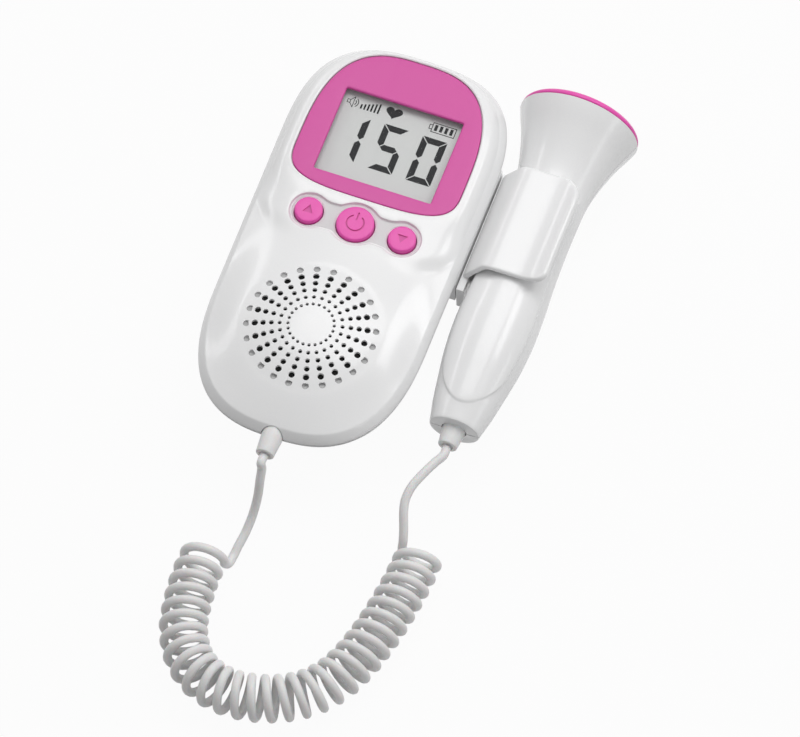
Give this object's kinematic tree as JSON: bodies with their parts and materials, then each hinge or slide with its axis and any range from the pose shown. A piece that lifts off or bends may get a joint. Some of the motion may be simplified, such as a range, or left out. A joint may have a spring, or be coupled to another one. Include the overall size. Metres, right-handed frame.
{
  "type": "fetal doppler monitor",
  "caption": "Pocket fetal heartbeat monitor: display unit with speaker and buttons, side holder, flared probe and curly cord.",
  "frame": {"origin": "middle of the foot of the object's box without its cord, on the surface that the unit lies on", "axes": "+Y along the unit towards the screen end, +X towards the probe, +Z out of the display"},
  "size_m": [0.1036, 0.2234, 0.0384],
  "materials": {
    "white_gloss": "polished white ABS",
    "pink_plate": "satin pink plate round the screen",
    "pink_button": "satin pink plastic",
    "clear_lens": "clear acrylic window",
    "display_grey": "grey liquid crystal panel",
    "inner_white": "plain white plastic and paper",
    "black_plastic": "matt black plastic",
    "black_cloth": "fine black dust cloth",
    "board_green": "green circuit board",
    "steel": "bright plated steel",
    "cell_sleeve": "printed cell sleeve with no words",
    "ceramic": "sintered ceramic",
    "cord_white": "soft white cord sheath"
  },
  "bodies": {
    "unit": {"front_shell": "white_gloss", "rear_shell": "white_gloss", "case_screw_1": "steel", "case_screw_2": "steel", "case_screw_3": "steel", "case_screw_4": "steel", "screen_bezel": "pink_plate", "screen_window": "clear_lens", "lcd_panel": "display_grey", "lcd_backlight": "inner_white", "lcd_frame": "inner_white", "main_board": "board_green", "volume_up_switch": "steel", "power_switch": "steel", "volume_down_switch": "steel", "speaker_frame": "black_plastic", "speaker_cone": "inner_white", "speaker_magnet": "steel", "speaker_cloth": "black_cloth", "battery_cell_1": "cell_sleeve", "battery_cell_2": "cell_sleeve", "battery_spring_contact": "steel", "battery_plus_contact": "steel", "battery_link_contact": "steel", "probe_holder": "white_gloss", "holder_screw_1": "steel", "holder_screw_2": "steel", "unit_cable_gland": "cord_white", "unit_cord_lead": "cord_white", "coiled_cord": "cord_white"},
    "volume_up_key": {"volume_up_button": "pink_button", "volume_up_plunger": "black_plastic"},
    "power_key": {"power_button": "pink_button", "power_plunger": "black_plastic"},
    "volume_down_key": {"volume_down_button": "pink_button", "volume_down_plunger": "black_plastic"},
    "battery_door": {"battery_cover": "white_gloss"},
    "probe": {"probe_front_shell": "white_gloss", "probe_rear_shell": "white_gloss", "probe_screw_1": "steel", "probe_screw_2": "steel", "probe_face_cap": "pink_button", "crystal_send": "ceramic", "crystal_receive": "ceramic", "crystal_backing": "black_plastic", "probe_board": "board_green", "probe_cable_gland": "cord_white", "probe_cord_lead": "cord_white"}
  },
  "joints": [
    {"name": "volume_up_press", "type": "slide", "parent": "unit", "child": "volume_up_key", "axis": [0, 0, -1], "range_m": [0, 0.0009], "stiffness_N_per_m": 1200},
    {"name": "power_press", "type": "slide", "parent": "unit", "child": "power_key", "axis": [0, 0, -1], "range_m": [0, 0.0009], "stiffness_N_per_m": 1200},
    {"name": "volume_down_press", "type": "slide", "parent": "unit", "child": "volume_down_key", "axis": [0, 0, -1], "range_m": [0, 0.0009], "stiffness_N_per_m": 1200},
    {"name": "battery_cover_slide", "type": "slide", "parent": "unit", "child": "battery_door", "axis": [0, 1, 0], "range_m": [0, 0.06]},
    {"name": "probe_release", "type": "slide", "parent": "unit", "child": "probe", "axis": [1, 0, 0], "range_m": [0, 0.03]}
  ]
}
